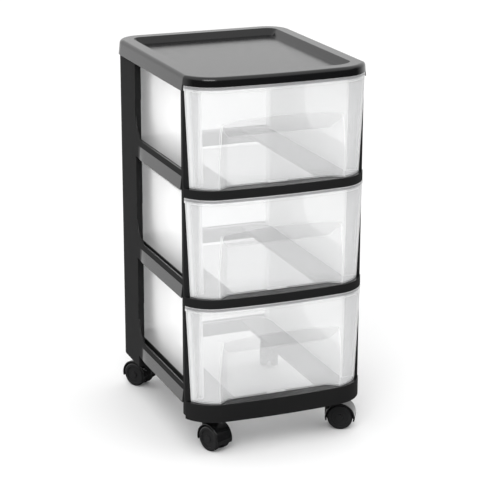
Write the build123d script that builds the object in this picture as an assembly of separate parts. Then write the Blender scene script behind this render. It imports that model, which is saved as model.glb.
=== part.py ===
from build123d import *
import math
import os

os.makedirs("parts", exist_ok=True)

# Drawer tower on castors. Millimetres, +Z up, front towards -Y.
# The origin is on the floor, under the middle of the box around the tower.

# Overall sizes
WIDTH = 322.0  # over the flared skirt and rails
DEPTH = 400.0  # middle of the bowed front to the back
CARCASS_BOTTOM = 67.0  # floor to the lower end of the posts
LEVELS = 3

# Plan of the tower
BOW = 44.0  # how far the front stands out past the front corners
BOW_CORNER_R = 65.0
BOW_FRONT_R = 1250.0
REAR_CORNER_R = 45.0
FLARE = 2.5  # skirt and rails stand out this far at their lower edge
WALL = 2.5  # moulded wall of frames, posts and cover

# Heights within one level, from the level's base
APRON_DROP = 5.0  # lowest front bar below the base
REAR_RAIL_DROP = 4.0
BAR_BOTTOM = 11.0  # front bar of the upper frames
LEG_BOTTOM = 18.0  # seam under the rail, upper frames
RAIL_BOTTOM = 21.0
DECK = 26.0  # plane that a drawer slides on
GUIDE_HEIGHT = 12.0
BAND_TOP = 43.0  # top of the rail's flared band
RAIL_TOP = 54.0
FRONT_SEAM = 105.0  # front leg to post
REAR_SEAM = 120.0  # rear leg to post

# Frame plan
FRONT_POST_WIDTH = 26.0
FRONT_POST_DEPTH = 12.0
FRONT_POST_R = 2.0
MIN_CORNER_R = 0.3
FRONT_POST_SETBACK = 1.5  # behind the front corner of the plan
REAR_POST_FRONT_Y = 84.0
REAR_POST_BACK_X = 138.0
REAR_POST_THICK = 10.5
POST_STEP = 1.5  # a post's front edge stands this far past the leg's
RUNNER_WIDTH = 82.5
FRONT_DECK_WIDTH = 34.0
REAR_DECK_WIDTH = 24.0
DECK_NOTCH_WIDTH = 36.0
DECK_NOTCH_DEPTH = 8.0
GUSSET_R = 37.0
RAIL_BLEND = 48.0  # length over which the rail's flare grows out of the rear leg
RAIL_BLEND_STEPS = 6
GUIDE_WALL = 2.0
LIP_DEPTH = 6.0  # stiffening lip under the deck's inner edge

# Spigots that plug each part into the one above
SPIGOT_HEIGHT = 10.0
SPIGOT_WALL = 2.0
SPIGOT_FIT = 0.15
SPIGOT_WEB = 3.0
SPIGOT_END_GAP = 1.0

# Top cover
COVER_HEIGHT = 25.0
COVER_FRONT_HEIGHT = 15.0
COVER_EDGE_R = 7.0
RIM_WIDTH = 24.0
TRAY_DEPTH = 11.0
TRAY_SLOPE = 8.0  # run of the sloped wall, in plan

# Drawers
DRAWER_WALL = 2.0
DRAWER_GAP = 0.3  # under and behind the sliding faces
FRONT_HEIGHT = 168.0
FRONT_GAP = 1.0  # over the front, to the bar or cover above it
TUB_DROP = 16.0  # tub's rim below the front's top
TUB_SIDE_GAP = 1.9  # tub to front post
TUB_DRAFT = 2.5
TUB_BACK_GAP = 1.5
FACE_INSET = 2.5  # front face behind the bars
FACE_TAPER = 8.0  # per side, top to bottom
FACE_DRAFT = 1.0
FACE_SIDE_INSET = 1.3  # upper corners of the face, from the body outline
POST_GAP = 1.0  # shoulder of the front to the posts
LIP_HEIGHT = 8.0
LIP_INSET = 0.3
RECESS_DEPTH = 20.0
RECESS_HEIGHT = 116.0
RECESS_WALL_HEIGHT = 82.0  # set-back wall, below the sloped facet
RECESS_TOP_MARGIN = 57.0  # upper end of the arch, from the tower's side
RECESS_BOTTOM_MARGIN = 47.0
RECESS_FLOOR_MARGIN = 71.0  # set-back wall, from the tower's side
RECESS_ARCH_R = 18.0
RECESS_SIDE_DEPTH = 3.0  # where the side walls start, behind the face
RECESS_BLEND_R = 10.0

# Castors
FRONT_STEM_FROM_SIDE = 47.0
REAR_STEM_FROM_SIDE = 40.0
STEM_FROM_FRONT = 18.0
STEM_FROM_BACK = 48.0
BOSS_R = 10.0
BOSS_BOTTOM = 54.0
RIB = 2.0
STEM_R = 5.0
STEM_FIT = 0.06
STEM_TOP = 85.0
STEM_END_GAP = 1.0
STEM_CHAMFER = 1.0
COLLAR_R = 9.0
COLLAR_HEIGHT = 2.0
COLLAR_GAP = 0.3
TRAIL = 19.0
WHEEL_R = 22.0
WHEEL_WIDTH = 12.5
WHEEL_EDGE_R = 3.0
WHEEL_DISH_R = 15.0
WHEEL_DISH_DEPTH = 1.5
WHEEL_CAP_R = 6.0
WEB_HALF = 3.5
WHEEL_GAP = 0.6  # wheel to web
HOOD_GAP = 1.4  # wheel to hood
HOOD_WALL = 2.6
HOOD_DROP = 6.0  # the hood's ends reach this far below the axle
HOOD_EDGE_R = 1.2
SOCKET_R = 8.5
AXLE_R = 3.0
AXLE_FIT = 0.06
AXLE_CAP = 2.5  # wheel wall over each end of the axle
CASTOR_HEADINGS = {  # degrees, stem to axle, as the castors stand at rest
    "front_left": -68.0,
    "front_right": -30.0,
    "rear_left": 120.0,
    "rear_right": 65.0,
}

HALF = WIDTH / 2
# The cover's front edge ends above its widest outline, so the outline starts further out.
APEX_Y = -DEPTH / 2 - FLARE * (1 - COVER_FRONT_HEIGHT / COVER_HEIGHT)
CORNER_Y = APEX_Y + BOW
BACK_Y = DEPTH / 2
BODY = FLARE  # inset of posts and bars from the widest outline
POST_X = HALF - BODY - FRONT_POST_WIDTH  # inner face of a front post
POST_FRONT_Y = CORNER_Y + FRONT_POST_SETBACK
POST_BACK_Y = POST_FRONT_Y + FRONT_POST_DEPTH
INNER = BODY + REAR_POST_THICK  # inset of the inner edge of rear posts
OPENING_TOP = DECK + FRONT_HEIGHT + FRONT_GAP  # over a drawer's front, from its level's base
LEVEL_PITCH = OPENING_TOP - BAR_BOTTOM  # one frame to the next
TOP_LEVEL_BASE = CARCASS_BOTTOM + (LEVELS - 1) * LEVEL_PITCH
COVER_BOTTOM = TOP_LEVEL_BASE + OPENING_TOP - (COVER_HEIGHT - COVER_FRONT_HEIGHT)
HEIGHT = COVER_BOTTOM + COVER_HEIGHT
RECESS_HALF_TOP = HALF - RECESS_TOP_MARGIN
RECESS_HALF_BOTTOM = HALF - RECESS_BOTTOM_MARGIN
RECESS_FLOOR_HALF = HALF - RECESS_FLOOR_MARGIN
LEVEL_NAMES = ["bottom", "middle", "top"]
STEM_FOOT = 2 * WHEEL_R + HOOD_GAP
STEM_FRONT_X = HALF - FRONT_STEM_FROM_SIDE
STEM_BACK_X = HALF - REAR_STEM_FROM_SIDE
STEM_FRONT_Y = CORNER_Y + STEM_FROM_FRONT
STEM_BACK_Y = BACK_Y - STEM_FROM_BACK
STEM_PLACES = {
    "front_left": (-STEM_FRONT_X, STEM_FRONT_Y),
    "front_right": (STEM_FRONT_X, STEM_FRONT_Y),
    "rear_left": (-STEM_BACK_X, STEM_BACK_Y),
    "rear_right": (STEM_BACK_X, STEM_BACK_Y),
}


def level_base(level):
    return CARCASS_BOTTOM + level * LEVEL_PITCH


def block(x0, x1, y0, y1, z0, z1):
    size = (abs(x1 - x0), abs(y1 - y0), abs(z1 - z0))
    return Pos((x0 + x1) / 2, (y0 + y1) / 2, (z0 + z1) / 2) * Box(*size)


def prism(face, z0, z1):
    return extrude(Pos(0, 0, z0) * face, amount=z1 - z0)


def mirrored(shape):
    return shape + mirror(shape, about=Plane.YZ)


def flipped(point):
    return Vector(-point.X, point.Y)


def bow_edges(half, corner_y, apex_y, corner_r, front_r, inset):
    """Bowed front in plan: a corner arc, a nearly flat arc and a corner arc, all tangent.
    Returns the edges from left to right and the two end points."""
    front = Vector(0, apex_y + front_r)
    start = Vector(half, corner_y)
    reach = front_r - corner_r
    span = front - start
    along = (corner_r**2 - reach**2 + span.length**2) / (2 * span.length)
    across = math.sqrt(corner_r**2 - along**2)
    unit = span.normalized()
    centre = start + unit * along + Vector(unit.Y, -unit.X) * -across
    if centre.X > half:
        centre = start + unit * along + Vector(unit.Y, -unit.X) * across
    radius = corner_r - inset
    tangent = centre + (centre - front).normalized() * radius
    end_x = half - inset
    end = Vector(end_x, centre.Y - math.sqrt(radius**2 - (end_x - centre.X) ** 2))
    middle = centre + ((tangent + end) * 0.5 - centre).normalized() * radius
    edges = [
        ThreePointArc(flipped(end), flipped(middle), flipped(tangent)),
        ThreePointArc(flipped(tangent), Vector(0, apex_y + inset), tangent),
        ThreePointArc(tangent, middle, end),
    ]
    return edges, flipped(end), end


def back_edges(left, right, half, back_y, radius):
    """Straight sides and rounded rear corners that close an outline."""
    diagonal = radius * (1 - math.sqrt(0.5))
    side_end = Vector(half, back_y - radius)
    middle = Vector(half - diagonal, back_y - diagonal)
    back_end = Vector(half - radius, back_y)
    return [
        Line(right, side_end),
        ThreePointArc(side_end, middle, back_end),
        Line(back_end, flipped(back_end)),
        ThreePointArc(flipped(back_end), flipped(middle), flipped(side_end)),
        Line(flipped(side_end), left),
    ]


def tower_plan(inset):
    """Outline of the tower, moved in by inset."""
    front, left, right = bow_edges(HALF, CORNER_Y, APEX_Y, BOW_CORNER_R, BOW_FRONT_R, inset)
    back = back_edges(left, right, HALF - inset, BACK_Y - inset, REAR_CORNER_R - inset)
    return make_face(front + back)


def ring(outer_inset, inner_inset, z0, z1):
    return prism(tower_plan(outer_inset), z0, z1) - prism(tower_plan(inner_inset), z0, z1)


# Posts, shared by the frame legs, the loose posts and the cover's sockets


def front_post_plan(shrink):
    width = FRONT_POST_WIDTH - 2 * shrink
    depth = FRONT_POST_DEPTH - 2 * shrink
    corner = max(FRONT_POST_R - shrink, MIN_CORNER_R)
    centre_x = HALF - BODY - FRONT_POST_WIDTH / 2
    centre_y = POST_FRONT_Y + FRONT_POST_DEPTH / 2
    return Pos(centre_x, centre_y) * RectangleRounded(width, depth, corner)


def front_post(z0, z1):
    """Tube, closed just under its top, with a spigot that stands on the web."""
    tube = prism(front_post_plan(0), z0, z1) - prism(front_post_plan(WALL), z0, z1 - SPIGOT_WEB)
    spigot = prism(front_post_plan(WALL + SPIGOT_FIT), z1, z1 + SPIGOT_HEIGHT)
    return tube + spigot


def rear_region(margin, front_y, z0, z1):
    """The space of the right rear post, held in from its free edges by margin."""
    return block(REAR_POST_BACK_X + margin, HALF, front_y + margin, BACK_Y, z0, z1)


def rear_post(z0, z1, front_y):
    """Channel open to the inside, closed by a web at its top, with a channel spigot."""
    body = ring(BODY, INNER, z0, z1) & rear_region(0, front_y, z0, z1)
    hollow_top = z1 - SPIGOT_WEB
    hollow = ring(BODY + WALL, INNER, z0, hollow_top) & rear_region(WALL, front_y, z0, hollow_top)
    clear = WALL + SPIGOT_FIT
    low, high = z1, z1 + SPIGOT_HEIGHT
    spigot = ring(BODY + clear, BODY + clear + SPIGOT_WALL, low, high)
    spigot &= rear_region(clear + POST_STEP, REAR_POST_FRONT_Y, low, high)
    return body - hollow + spigot


# Frames


def rail_section(base, y, flare):
    """Right rail cut at y: an upright strip flush with the posts over a band that flares out."""
    face_x = HALF - BODY
    profile = Polyline(
        (face_x, base + RAIL_TOP),
        (face_x, base + BAND_TOP),
        (face_x + flare, base + RAIL_BOTTOM),
        (face_x + flare - WALL, base + RAIL_BOTTOM),
        (face_x - WALL, base + BAND_TOP),
        (face_x - WALL, base + RAIL_TOP),
        close=True,
    )
    return Plane.XZ.offset(-y) * make_face(profile)


def side_rail(base):
    """Right rail. Its flare grows out of the rear leg over a short length."""
    front_y = POST_BACK_Y - WALL
    full_y = REAR_POST_FRONT_Y - RAIL_BLEND
    sections = []
    for step in range(RAIL_BLEND_STEPS + 1):
        share = step / RAIL_BLEND_STEPS
        y = REAR_POST_FRONT_Y - share * RAIL_BLEND
        sections.append(rail_section(base, y, FLARE * (1 - math.cos(math.pi * share)) / 2))
    straight = extrude(rail_section(base, front_y, FLARE), amount=front_y - full_y)
    root = extrude(rail_section(base, REAR_POST_FRONT_Y, 0), amount=-WALL)
    return straight + loft(sections, ruled=True) + root


def gusset(base):
    """Right gusset: a concave quarter arc from the rail's top to the rear leg."""
    low = base + RAIL_TOP
    corner_y = REAR_POST_FRONT_Y
    reach = GUSSET_R * math.sqrt(0.5)
    outline = [
        Line((corner_y, low), (corner_y - GUSSET_R, low)),
        ThreePointArc(
            (corner_y - GUSSET_R, low),
            (corner_y - GUSSET_R + reach, low + GUSSET_R - reach),
            (corner_y, low + GUSSET_R),
        ),
        Line((corner_y, low + GUSSET_R), (corner_y, low)),
    ]
    plate = Plane.YZ.offset(HALF - BODY - WALL) * make_face(outline)
    return extrude(plate, amount=WALL)


def deck_ring(base):
    """Flat ring that the drawer slides on, with a lip under its inner edge."""
    top = base + DECK
    inner_x = HALF - BODY - RUNNER_WIDTH
    front_y = APEX_Y + FRONT_DECK_WIDTH
    back_y = BACK_Y - REAR_DECK_WIDTH
    plate = prism(tower_plan(BODY), top - WALL, top)
    plate += block(-inner_x - WALL, inner_x + WALL, front_y - WALL, back_y + WALL, top - LIP_DEPTH, top)
    plate -= block(-inner_x, inner_x, front_y, back_y, top - LIP_DEPTH, top)
    notch_half = DECK_NOTCH_WIDTH / 2
    notch_y = front_y - DECK_NOTCH_DEPTH
    return plate - block(-notch_half, notch_half, notch_y, front_y, top - LIP_DEPTH, top)


def guide_wall(base):
    """Right guide beside the drawer, from the front leg to the rounded rear corner."""
    return block(
        POST_X,
        POST_X + GUIDE_WALL,
        POST_BACK_Y - WALL,
        BACK_Y - REAR_CORNER_R,
        base + DECK - WALL,
        base + DECK + GUIDE_HEIGHT,
    )


def apron(base, bottom):
    """Front bar: the bowed upright wall under the deck's front edge."""
    wall = ring(BODY, BODY + WALL, bottom, base + DECK)
    return wall & block(-HALF, HALF, APEX_Y, POST_FRONT_Y, bottom, base + DECK)


def rear_rail(base):
    low, high = base - REAR_RAIL_DROP, base + DECK
    wall = ring(BODY, BODY + WALL, low, high)
    return wall & block(-REAR_POST_BACK_X, REAR_POST_BACK_X, 0, BACK_Y, low, high)


def leg_hollows(base, bottom):
    """Insides of the right legs, kept open for the spigots below."""
    rear_top = base + REAR_SEAM - SPIGOT_WEB
    front = prism(front_post_plan(WALL), bottom, base + FRONT_SEAM - SPIGOT_WEB)
    rear = ring(BODY + WALL, INNER, bottom, rear_top)
    rear &= rear_region(WALL, REAR_POST_FRONT_Y, bottom, rear_top)
    return front + rear


def castor_mounts(base):
    """Stem bosses and ribs under the right half of the bottom frame's deck."""
    top = base + DECK
    rib_top = top - WALL / 2
    mounts = Part()
    for corner in ("front_right", "rear_right"):
        x, y = STEM_PLACES[corner]
        end_y = APEX_Y if y < 0 else BACK_Y
        mounts += Pos(x, y, (BOSS_BOTTOM + top) / 2) * Cylinder(BOSS_R, top - BOSS_BOTTOM)
        mounts += block(x, HALF, y - RIB / 2, y + RIB / 2, base + RAIL_BOTTOM, rib_top)
        mounts += block(x - RIB / 2, x + RIB / 2, y, end_y, base + WALL, rib_top)
    return mounts & prism(tower_plan(BODY + WALL / 2), BOSS_BOTTOM, top)


def stem_bore(corner):
    x, y = STEM_PLACES[corner]
    length = STEM_TOP + STEM_END_GAP - BOSS_BOTTOM
    return Pos(x, y, BOSS_BOTTOM + length / 2) * Cylinder(STEM_R + STEM_FIT, length)


def level_frame(level):
    """One moulding: its right half is built whole and then mirrored."""
    base = level_base(level)
    lowest = level == 0
    leg_bottom = base if lowest else base + LEG_BOTTOM
    bar_bottom = base - APRON_DROP if lowest else base + BAR_BOTTOM
    half = deck_ring(base) + apron(base, bar_bottom) + rear_rail(base)
    half += side_rail(base) + gusset(base) + guide_wall(base)
    half += front_post(leg_bottom, base + FRONT_SEAM)
    half += rear_post(leg_bottom, base + REAR_SEAM, REAR_POST_FRONT_Y)
    if lowest:
        half += castor_mounts(base)
    half -= leg_hollows(base, leg_bottom)
    if lowest:
        half = half - stem_bore("front_right") - stem_bore("rear_right")
    half &= block(0, HALF, -DEPTH, DEPTH, 0, 2 * HEIGHT)
    return mirrored(half)


# Top cover


def tray_body(grow, z0, z1):
    """The tray's space, sloping in to its floor; grow moves it out and down."""
    low = tower_plan(BODY + RIM_WIDTH + TRAY_SLOPE - grow)
    high = tower_plan(BODY + RIM_WIDTH - grow)
    return loft([Pos(0, 0, z0) * low, Pos(0, 0, z1) * high])


def top_cover():
    top = HEIGHT
    outer = loft([Pos(0, 0, COVER_BOTTOM) * tower_plan(0), Pos(0, 0, top) * tower_plan(BODY)])
    outer = fillet(outer.faces().sort_by(Axis.Z)[-1].edges(), COVER_EDGE_R)
    under = prism(tower_plan(BODY + WALL), COVER_BOTTOM, top - WALL)
    under -= tray_body(WALL, top - TRAY_DEPTH - WALL, top)
    tray = tray_body(0, top - TRAY_DEPTH, top)
    cover = outer - tray - under
    front_bottom = top - COVER_FRONT_HEIGHT
    cover -= block(-HALF, HALF, APEX_Y, POST_FRONT_Y - POST_GAP / 2, COVER_BOTTOM, front_bottom)
    socket_top = COVER_BOTTOM + SPIGOT_HEIGHT + SPIGOT_END_GAP
    boss = prism(front_post_plan(0), COVER_BOTTOM, top) & outer
    boss = boss - prism(front_post_plan(WALL), COVER_BOTTOM, socket_top) - tray
    return cover + mirrored(boss)


# Drawers


def drawer_plan(height_share, inset):
    """Outline of a drawer at a height share from its bottom, 0, to its top, 1."""
    front_half = HALF - BODY - FACE_SIDE_INSET - FACE_TAPER * (1 - height_share)
    apex_y = APEX_Y + BODY + FACE_INSET + FACE_DRAFT * (1 - height_share)
    shoulder_y = POST_FRONT_Y - POST_GAP
    tub_half = POST_X - TUB_SIDE_GAP - TUB_DRAFT * (1 - height_share) - inset
    back_y = BACK_Y - INNER - TUB_BACK_GAP - TUB_DRAFT * (1 - height_share) - inset
    corner_y = shoulder_y - 2 * DRAWER_WALL
    front, left, right = bow_edges(front_half, corner_y, apex_y, BOW_CORNER_R, BOW_FRONT_R, inset)
    step_y = shoulder_y - inset
    steps = [
        Line(right, (right.X, step_y)),
        Line((right.X, step_y), (tub_half, step_y)),
        Line((-tub_half, step_y), (left.X, step_y)),
        Line((left.X, step_y), left),
    ]
    radius = REAR_CORNER_R - INNER - inset
    back = back_edges((-tub_half, step_y), (tub_half, step_y), tub_half, back_y, radius)
    return make_face(front + steps + back)


def recess_space(bottom, grow):
    """Finger recess in the front: a set-back wall under a sloped facet, in an arch."""
    wall_y = APEX_Y + BODY + FACE_INSET + RECESS_DEPTH
    face_y = wall_y - RECESS_DEPTH
    ahead_y = APEX_Y - FRONT_DECK_WIDTH
    arch = make_face(
        Polyline(
            (-RECESS_HALF_BOTTOM, bottom - LIP_HEIGHT),
            (RECESS_HALF_BOTTOM, bottom - LIP_HEIGHT),
            (RECESS_HALF_TOP, bottom + RECESS_HEIGHT),
            (-RECESS_HALF_TOP, bottom + RECESS_HEIGHT),
            close=True,
        )
    )
    arch = fillet(arch.vertices().group_by(Axis.Y)[-1], RECESS_ARCH_R)
    slope = (RECESS_HEIGHT - RECESS_WALL_HEIGHT) / RECESS_DEPTH
    section = make_face(
        Polyline(
            (ahead_y, bottom - LIP_HEIGHT),
            (wall_y, bottom - LIP_HEIGHT),
            (wall_y, bottom + RECESS_WALL_HEIGHT),
            (ahead_y, bottom + RECESS_WALL_HEIGHT + slope * (wall_y - ahead_y)),
            close=True,
        )
    )
    plan = make_face(
        Polyline(
            (-HALF, ahead_y),
            (-RECESS_HALF_BOTTOM, face_y + RECESS_SIDE_DEPTH),
            (-RECESS_FLOOR_HALF, wall_y),
            (RECESS_FLOOR_HALF, wall_y),
            (RECESS_HALF_BOTTOM, face_y + RECESS_SIDE_DEPTH),
            (HALF, ahead_y),
            close=True,
        )
    )
    inner_corners = plan.vertices().sort_by(Axis.Y)[-4:]
    plan = fillet(inner_corners, RECESS_BLEND_R)
    if grow:
        arch = offset(arch, grow, kind=Kind.INTERSECTION)
        section = offset(section, grow, kind=Kind.INTERSECTION)
        plan = offset(plan, grow, kind=Kind.INTERSECTION)
    arch_body = extrude(Plane.XZ.offset(DEPTH) * arch, amount=-DEPTH)
    section_body = extrude(Plane.YZ.offset(-HALF) * section, amount=WIDTH)
    plan_body = prism(plan, bottom - LIP_HEIGHT - grow, bottom + FRONT_HEIGHT)
    return arch_body & section_body & plan_body


def drawer(level):
    bottom = level_base(level) + DECK + DRAWER_GAP
    top = level_base(level) + DECK + FRONT_HEIGHT
    tub_top = top - TUB_DROP
    floor = bottom + DRAWER_WALL
    floor_share = DRAWER_WALL / (top - bottom)
    outer_low = Pos(0, 0, bottom) * drawer_plan(0, 0)
    outer_high = Pos(0, 0, top) * drawer_plan(1, 0)
    outer = loft([outer_low, outer_high]) - recess_space(bottom, 0)
    inner_low = Pos(0, 0, floor) * drawer_plan(floor_share, DRAWER_WALL)
    inner_high = Pos(0, 0, top) * drawer_plan(1, DRAWER_WALL)
    inner = loft([inner_low, inner_high]) - recess_space(bottom, DRAWER_WALL)
    shell = outer - inner
    shell -= block(-HALF, HALF, POST_FRONT_Y - POST_GAP, BACK_Y, tub_top, top)
    lip = ring(BODY + LIP_INSET, BODY + FACE_INSET + DRAWER_WALL / 2, top - LIP_HEIGHT, top)
    lip &= block(-HALF, HALF, APEX_Y, POST_FRONT_Y - POST_GAP, top - LIP_HEIGHT, top)
    return shell + lip


# Castors, modelled about the stem's axis with the axle at +X, then turned and placed


def wheel():
    """Wheel with a crowned rim, a dished outer face and a blind hub. Its axis is Y."""
    dish = Cylinder(WHEEL_DISH_R, WHEEL_DISH_DEPTH) - Cylinder(WHEEL_CAP_R, WHEEL_DISH_DEPTH)
    body = Cylinder(WHEEL_R, WHEEL_WIDTH)
    body = fillet(body.edges().filter_by(GeomType.CIRCLE), WHEEL_EDGE_R)
    body -= Pos(0, 0, (WHEEL_WIDTH - WHEEL_DISH_DEPTH) / 2) * dish
    bore_length = WHEEL_WIDTH - AXLE_CAP
    body -= Pos(0, 0, -AXLE_CAP / 2) * Cylinder(AXLE_R + AXLE_FIT, bore_length)
    return body


def place_wheel(side):
    """The wheel on one side of the web: -1 is right of the heading, 1 is left of it."""
    centre_y = WEB_HALF + WHEEL_GAP + WHEEL_WIDTH / 2
    turned = Rot(X=-90) * wheel()
    if side < 0:
        turned = Rot(X=90) * wheel()
    return Pos(TRAIL, side * centre_y, WHEEL_R) * turned


def housing():
    """Web between the wheels, hood over them and the socket that holds the stem."""
    axis = Pos(TRAIL, 0, WHEEL_R) * Rot(X=90)
    hood_r = WHEEL_R + HOOD_GAP + HOOD_WALL
    hood_half = WEB_HALF + WHEEL_GAP + WHEEL_WIDTH
    hood = Cylinder(hood_r, 2 * hood_half)
    hood = fillet(hood.edges().filter_by(GeomType.CIRCLE), HOOD_EDGE_R)
    through = 4 * hood_half
    wheel_space = Cylinder(WHEEL_R + HOOD_GAP, through)
    web = axis * Cylinder(WHEEL_R + HOOD_GAP, 2 * WEB_HALF)
    shell = axis * (hood - wheel_space)
    collar_bottom = BOSS_BOTTOM - COLLAR_GAP - COLLAR_HEIGHT
    socket = Pos(0, 0, (collar_bottom + WHEEL_R) / 2) * Cylinder(SOCKET_R, collar_bottom - WHEEL_R)
    socket -= axis * wheel_space
    body = shell + web + socket
    body -= block(-DEPTH, DEPTH, -WIDTH, WIDTH, -DEPTH, WHEEL_R - HOOD_DROP)
    bore_length = collar_bottom - STEM_FOOT
    body -= Pos(0, 0, STEM_FOOT + bore_length / 2) * Cylinder(STEM_R + STEM_FIT / 2, bore_length)
    body -= axis * Cylinder(AXLE_R + AXLE_FIT / 2, through)
    return body


def stem():
    collar_top = BOSS_BOTTOM - COLLAR_GAP
    pin = Pos(0, 0, (STEM_FOOT + STEM_TOP) / 2) * Cylinder(STEM_R, STEM_TOP - STEM_FOOT)
    pin = chamfer(pin.edges().sort_by(Axis.Z)[-1], STEM_CHAMFER)
    collar = Pos(0, 0, collar_top - COLLAR_HEIGHT / 2) * Cylinder(COLLAR_R, COLLAR_HEIGHT)
    return pin + collar


def axle():
    length = 2 * (WEB_HALF + WHEEL_GAP + WHEEL_WIDTH - AXLE_CAP - AXLE_FIT)
    return Pos(TRAIL, 0, WHEEL_R) * Rot(X=90) * Cylinder(AXLE_R, length)


def write(name, shape):
    solids = shape.solids()
    result = solids[0] if len(solids) == 1 else Compound(solids)
    result.label = name
    export_step(result, f"parts/{name}.step")


def main():
    write("top_cover", top_cover())
    for level in range(LEVELS):
        name = LEVEL_NAMES[level]
        base = level_base(level)
        next_leg = base + LEVEL_PITCH + LEG_BOTTOM
        post_top = COVER_BOTTOM if level == LEVELS - 1 else next_leg
        write(f"{name}_frame", level_frame(level))
        write(f"{name}_drawer", drawer(level))
        front = front_post(base + FRONT_SEAM, post_top)
        rear = rear_post(base + REAR_SEAM, post_top, REAR_POST_FRONT_Y - POST_STEP)
        write(f"{name}_post_front_right", front)
        write(f"{name}_post_rear_right", rear)
        write(f"{name}_post_front_left", mirror(front, about=Plane.YZ))
        write(f"{name}_post_rear_left", mirror(rear, about=Plane.YZ))
    for corner, (x, y) in STEM_PLACES.items():
        place = Pos(x, y) * Rot(Z=CASTOR_HEADINGS[corner])
        write(f"castor_{corner}_stem", place * stem())
        write(f"castor_{corner}_housing", place * housing())
        write(f"castor_{corner}_axle", place * axle())
        write(f"castor_{corner}_wheel_a", place * place_wheel(-1))
        write(f"castor_{corner}_wheel_b", place * place_wheel(1))


main()
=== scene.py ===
import math

import bpy
from mathutils import Matrix, Vector

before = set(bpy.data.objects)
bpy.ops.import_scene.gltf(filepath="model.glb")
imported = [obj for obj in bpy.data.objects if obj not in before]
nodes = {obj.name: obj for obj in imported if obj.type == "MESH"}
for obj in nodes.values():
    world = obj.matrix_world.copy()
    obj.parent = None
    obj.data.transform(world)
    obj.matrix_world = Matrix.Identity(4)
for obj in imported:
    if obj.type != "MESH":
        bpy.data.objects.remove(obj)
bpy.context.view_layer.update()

# Lengths are in metres, angles in degrees, and the scale of a noise in features per metre

# Camera of the photograph, with its focal length in pixels of a square frame
CAMERA_AT = (-1.0903, -2.7228, 1.2254)
CAMERA_YAW = -21.848
CAMERA_PITCH = 17.318
CAMERA_ROLL = 0.086
FOCAL_PX = 1768.2
FRAME_PX = 480
SENSOR_MM = 36.0

# All plastics
BEVEL_SAMPLES = 4
GRAIN_DEPTH = 0.0002
GRAIN_DETAIL = 2.0
SMEAR_DETAIL = 4.0  # unevenness of the gloss

# Black plastics
EDGE_RADIUS = 0.0012
CLOUD_SCALE = 9.0  # slow drift between the dark and the light tone
CLOUD_DETAIL = 3.0
SMEAR_SCALE = 60.0
SMEAR_SPREAD = 0.08
DULL_ROUGH = 0.85  # roughness of upright faces
SLOPED_FACES = (0.02, 0.07)  # upward part of the normal, from upright to sloped

# Clear plastic
CLEAR_EDGE_RADIUS = 0.0015
CLEAR_SMEAR_SCALE = 45.0
CLEAR_ROUGH = (0.16, 0.28)
CLEAR_GRAIN_SCALE = 900.0
CLEAR_GRAIN = 0.1
PAINTED_GLOW = 0.09  # painted glow, standing in for light that the plastic pipes to its faces
HAZE_FRONT = 0.27  # opacity of one face of a drawer's wall
HAZE_SIDE = 0.6
HAZE_LIP = 0.5  # added in the lip, where it shows the painted shade
HAZE_EDGE = 0.6  # added at the edges, where it shows the painted highlight
CLEAR_TINT = (0.815, 0.82, 0.825)
# Painted light: side walls coloured near white, lighter than the front, for light that passes
# through them
SIDE_PAINTED_LIGHT = (0.995, 0.995, 0.995)
# Painted shade: the lip coloured dark grey for the shade and dark reflections it shows
LIP_PAINTED_SHADE = (0.2, 0.2, 0.205)
# Painted highlight: edges coloured near white for the bright lines along them
EDGE_PAINTED_HIGHLIGHT = (0.95, 0.95, 0.95)
SIDE_FACES = (0.75, 0.95)  # sideways part of the normal, from front to side
LIP_HEIGHTS = (0.968, 0.973)  # shares of a drawer's height, from below the lip to in it
EDGE_TURN = 0.25  # 1 minus the cosine by which a full edge turns the normal

# Steel of the stems and axles
STEEL_TONE = (0.62, 0.62, 0.63, 1.0)
STREAK_SCALE = 300.0
STREAK_DETAIL = 3.0
STEEL_ROUGH = (0.28, 0.42)

# Studio
WHITE = (1.0, 1.0, 1.0, 1.0)
FLOOR_SIZE = 12.0
FLOOR_TONE = (0.86, 0.86, 0.86, 1.0)
FLOOR_ROUGH = 0.9
ROOM_LIGHT = 1.2
BACKDROP_LIGHT = 1.0  # seen by the camera
GLOSS_LIGHT = 1.05  # bright part of what glossy faces see
GLOSS_FLOOR_LIGHT = 0.01
GLOSS_FRONT_LIGHT = 0.03
# Parts of a ray's direction, from the dark end of each blend to its bright end
HORIZON_UP = (-0.5, -0.36)
BEHIND_BACK = (-0.2, 0.3)
OVERHEAD_UP = (0.35, 0.7)
KEY_AT = (-1.2, -2.2, 2.6)
KEY_TARGET = (0.0, 0.0, 0.3)
KEY_SIZE = 1.6
KEY_WATTS = 40.0


def set_input(node, name, value):
    node.inputs[name].default_value = value


def new_material(name):
    material = bpy.data.materials.new(name)
    material.use_nodes = True
    return material, material.node_tree, material.node_tree.nodes["Principled BSDF"]


def add_noise(tree, scale, detail):
    """Noise in the object's own space."""
    coords = tree.nodes.new("ShaderNodeTexCoord")
    noise = tree.nodes.new("ShaderNodeTexNoise")
    set_input(noise, "Scale", scale)
    set_input(noise, "Detail", detail)
    tree.links.new(coords.outputs["Object"], noise.inputs["Vector"])
    return noise.outputs["Fac"]


def add_range(tree, value, low, high, start=0.0, end=1.0):
    """The value, moved from the range start..end to low..high and held inside it."""
    node = tree.nodes.new("ShaderNodeMapRange")
    set_input(node, "From Min", start)
    set_input(node, "From Max", end)
    set_input(node, "To Min", low)
    set_input(node, "To Max", high)
    tree.links.new(value, node.inputs["Value"])
    return node.outputs["Result"]


def add_math(tree, operation, *values, clamp=False):
    """One step of arithmetic on other nodes' outputs or numbers."""
    node = tree.nodes.new("ShaderNodeMath")
    node.operation = operation
    node.use_clamp = clamp
    for socket, value in zip(node.inputs, values):
        if isinstance(value, float):
            socket.default_value = value
        else:
            tree.links.new(value, socket)
    return node.outputs["Value"]


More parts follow.
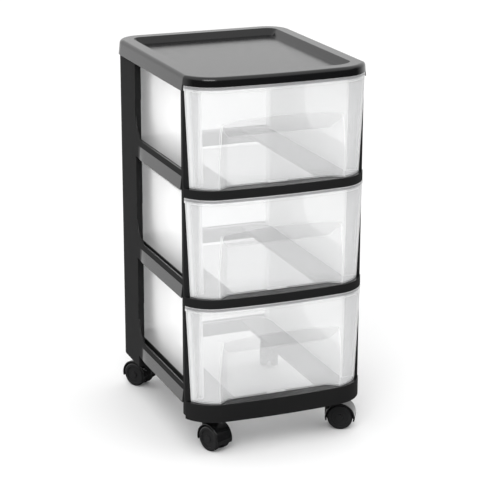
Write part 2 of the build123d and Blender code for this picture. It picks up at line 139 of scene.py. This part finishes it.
def blend_colour(tree, factor, first, second):
    """Mix of two colours, where the first may be another node's output."""
    mix = tree.nodes.new("ShaderNodeMix")
    mix.data_type = "RGBA"
    tree.links.new(factor, mix.inputs["Factor"])
    if isinstance(first, tuple):
        set_input(mix, "A", (*first, 1.0))
    else:
        tree.links.new(first, mix.inputs["A"])
    set_input(mix, "B", (*second, 1.0))
    return mix.outputs["Result"]


def blend_value(tree, factor, first, second):
    """Mix of two values, each a number or another node's output."""
    mix = tree.nodes.new("ShaderNodeMix")
    tree.links.new(factor, mix.inputs["Factor"])
    for socket, value in (("A", first), ("B", second)):
        if isinstance(value, float):
            set_input(mix, socket, value)
        else:
            tree.links.new(value, mix.inputs[socket])
    return mix.outputs["Result"]


def coordinate(tree, kind, axis):
    """One axis of a texture coordinate."""
    coords = tree.nodes.new("ShaderNodeTexCoord")
    split = tree.nodes.new("ShaderNodeSeparateXYZ")
    tree.links.new(coords.outputs[kind], split.inputs["Vector"])
    return split.outputs[axis]


def rounded_normal(tree, radius):
    """Normal of the surface as if its sharp edges were rounded."""
    bevel = tree.nodes.new("ShaderNodeBevel")
    bevel.samples = BEVEL_SAMPLES
    set_input(bevel, "Radius", radius)
    return bevel.outputs["Normal"]


def add_grain(tree, shader, scale, strength, normal):
    """Fine pits of the mould, over a normal that may already round the edges."""
    bump = tree.nodes.new("ShaderNodeBump")
    set_input(bump, "Strength", strength)
    set_input(bump, "Distance", GRAIN_DEPTH)
    tree.links.new(add_noise(tree, scale, GRAIN_DETAIL), bump.inputs["Height"])
    tree.links.new(normal, bump.inputs["Normal"])
    tree.links.new(bump.outputs["Normal"], shader.inputs["Normal"])


def upward_share(tree):
    """0 on upright faces, 1 on level faces and on those that slope even a little."""
    return add_range(tree, coordinate(tree, "Normal", "Z"), 0.0, 1.0, *SLOPED_FACES)


def side_share(tree):
    """0 on faces that look forward, back, up or down, 1 on faces that look sideways."""
    sideways = add_math(tree, "ABSOLUTE", coordinate(tree, "Normal", "X"))
    return add_range(tree, sideways, 0.0, 1.0, *SIDE_FACES)


def lip_share(tree):
    """1 on the thick lip along the top of a drawer's front, 0 below it."""
    return add_range(tree, coordinate(tree, "Generated", "Z"), 0.0, 1.0, *LIP_HEIGHTS)


def edge_share(tree, normal):
    """0 on flat faces, rising to 1 near sharp edges."""
    geometry = tree.nodes.new("ShaderNodeNewGeometry")
    dot = tree.nodes.new("ShaderNodeVectorMath")
    dot.operation = "DOT_PRODUCT"
    tree.links.new(geometry.outputs["Normal"], dot.inputs[0])
    tree.links.new(normal, dot.inputs[1])
    return add_range(tree, dot.outputs["Value"], 1.0, 0.0, start=1.0 - EDGE_TURN)


def moulded_plastic(name, dark, light, gloss_rough, grain_scale, grain):
    """Solid plastic: dull upright faces, glossier sloped ones, and the fine grain of a mould."""
    material, tree, shader = new_material(name)
    cloud = add_noise(tree, CLOUD_SCALE, CLOUD_DETAIL)
    tree.links.new(blend_colour(tree, cloud, dark, light), shader.inputs["Base Color"])
    rough = add_range(tree, upward_share(tree), DULL_ROUGH, gloss_rough)
    smear = add_noise(tree, SMEAR_SCALE, SMEAR_DETAIL)
    uneven = add_math(tree, "MULTIPLY", smear, SMEAR_SPREAD)
    tree.links.new(add_math(tree, "ADD", rough, uneven, clamp=True), shader.inputs["Roughness"])
    add_grain(tree, shader, grain_scale, grain, rounded_normal(tree, EDGE_RADIUS))
    return material


def clear_plastic(name):
    """Clear plastic with a milky haze, denser on the side walls, in the lip and at the edges, and
    painted light: a painted glow, side walls painted lighter, painted shade in the lip and
    painted highlights at the edges.
    """
    material, tree, shader = new_material(name)
    # Painted glow: the clear plastic emits white light though it is no lamp
    set_input(shader, "Emission Color", WHITE)
    set_input(shader, "Emission Strength", PAINTED_GLOW)
    smear = add_noise(tree, CLEAR_SMEAR_SCALE, SMEAR_DETAIL)
    tree.links.new(add_range(tree, smear, *CLEAR_ROUGH), shader.inputs["Roughness"])
    normal = rounded_normal(tree, CLEAR_EDGE_RADIUS)
    add_grain(tree, shader, CLEAR_GRAIN_SCALE, CLEAR_GRAIN, normal)
    sides, lip, edge = side_share(tree), lip_share(tree), edge_share(tree, normal)
    # Painted light: faces that look sideways take the lighter side colour
    walls = blend_colour(tree, sides, CLEAR_TINT, SIDE_PAINTED_LIGHT)
    # Painted shade: the lip takes the dark grey colour
    body = blend_colour(tree, lip, walls, LIP_PAINTED_SHADE)
    # Painted highlight: edges take the near-white colour
    tree.links.new(blend_colour(tree, edge, body, EDGE_PAINTED_HIGHLIGHT), shader.inputs["Base Color"])
    haze = add_range(tree, sides, HAZE_FRONT, HAZE_SIDE)
    for share, more in ((lip, HAZE_LIP), (edge, HAZE_EDGE)):
        haze = add_math(tree, "ADD", haze, add_math(tree, "MULTIPLY", share, more), clamp=True)
    tree.links.new(haze, shader.inputs["Alpha"])
    return material


def steel(name):
    material, tree, shader = new_material(name)
    set_input(shader, "Metallic", 1.0)
    set_input(shader, "Base Color", STEEL_TONE)
    streak = add_noise(tree, STREAK_SCALE, STREAK_DETAIL)
    tree.links.new(add_range(tree, streak, *STEEL_ROUGH), shader.inputs["Roughness"])
    return material


black = moulded_plastic(
    "frame_black", dark=(0.003, 0.003, 0.0032), light=(0.006, 0.006, 0.0065),
    gloss_rough=0.12, grain_scale=1400.0, grain=0.1)
castor_black = moulded_plastic(
    "castor_black", dark=(0.004, 0.004, 0.0042), light=(0.008, 0.008, 0.0085),
    gloss_rough=0.16, grain_scale=1400.0, grain=0.1)
wheel_black = moulded_plastic(
    "wheel_black", dark=(0.006, 0.006, 0.0065), light=(0.012, 0.012, 0.013),
    gloss_rough=0.3, grain_scale=900.0, grain=0.2)
clear = clear_plastic("drawer_clear")
zinc = steel("castor_steel")


def material_for(name):
    if name.endswith("_drawer"):
        return clear
    if "_wheel_" in name:
        return wheel_black
    if name.endswith(("_stem", "_axle")):
        return zinc
    if name.endswith("_housing"):
        return castor_black
    return black


for name, node in nodes.items():
    node.data.materials.clear()
    node.data.materials.append(material_for(name))

# Floor, which doesn't show in the gloss of the tower
bpy.ops.mesh.primitive_plane_add(size=FLOOR_SIZE, location=(0.0, 0.0, 0.0))
floor = bpy.context.object
floor.name = "studio_floor"
floor_material, floor_tree, floor_shader = new_material("floor_pale")
set_input(floor_shader, "Base Color", FLOOR_TONE)
set_input(floor_shader, "Roughness", FLOOR_ROUGH)
floor.data.materials.append(floor_material)
floor.visible_glossy = False


def studio_light(tree):
    """Even white light, while glossy faces see a bright sweep behind and a dark room in front."""
    up = coordinate(tree, "Generated", "Z")
    back = coordinate(tree, "Generated", "Y")
    above_floor = add_range(tree, up, GLOSS_FLOOR_LIGHT, GLOSS_LIGHT, *HORIZON_UP)
    behind = add_range(tree, back, GLOSS_FRONT_LIGHT, 1.0, *BEHIND_BACK)
    overhead = add_range(tree, up, 0.0, 1.0, *OVERHEAD_UP)
    lit = add_math(tree, "MAXIMUM", behind, overhead)
    sweep = add_math(tree, "MULTIPLY", above_floor, lit)
    ray = tree.nodes.new("ShaderNodeLightPath")
    light = blend_value(tree, ray.outputs["Is Glossy Ray"], ROOM_LIGHT, sweep)
    return blend_value(tree, ray.outputs["Is Camera Ray"], light, BACKDROP_LIGHT)


world = bpy.data.worlds.new("studio")
world.use_nodes = True
background = world.node_tree.nodes["Background"]
set_input(background, "Color", WHITE)
world.node_tree.links.new(studio_light(world.node_tree), background.inputs["Strength"])
bpy.context.scene.world = world

key_data = bpy.data.lights.new("key", "AREA")
key_data.shape = "RECTANGLE"
key_data.size = key_data.size_y = KEY_SIZE
key_data.energy = KEY_WATTS
key = bpy.data.objects.new("key", key_data)
key_direction = Vector(KEY_TARGET) - Vector(KEY_AT)
key.rotation_euler = key_direction.to_track_quat("-Z", "Y").to_euler()
key.location = KEY_AT
bpy.context.collection.objects.link(key)

camera_data = bpy.data.cameras.new("camera")
camera_data.sensor_width = SENSOR_MM
camera_data.lens = FOCAL_PX * SENSOR_MM / FRAME_PX
camera = bpy.data.objects.new("camera", camera_data)
yaw, pitch, roll = (math.radians(value) for value in (CAMERA_YAW, CAMERA_PITCH, CAMERA_ROLL))
level = math.pi / 2  # a camera of no turn looks straight down
turn = (Matrix.Rotation(yaw, 4, "Z")
        @ Matrix.Rotation(level - pitch, 4, "X")
        @ Matrix.Rotation(roll, 4, "Z"))
camera.matrix_world = Matrix.Translation(CAMERA_AT) @ turn
bpy.context.collection.objects.link(camera)
bpy.context.scene.camera = camera
bpy.context.scene.view_settings.view_transform = "Standard"
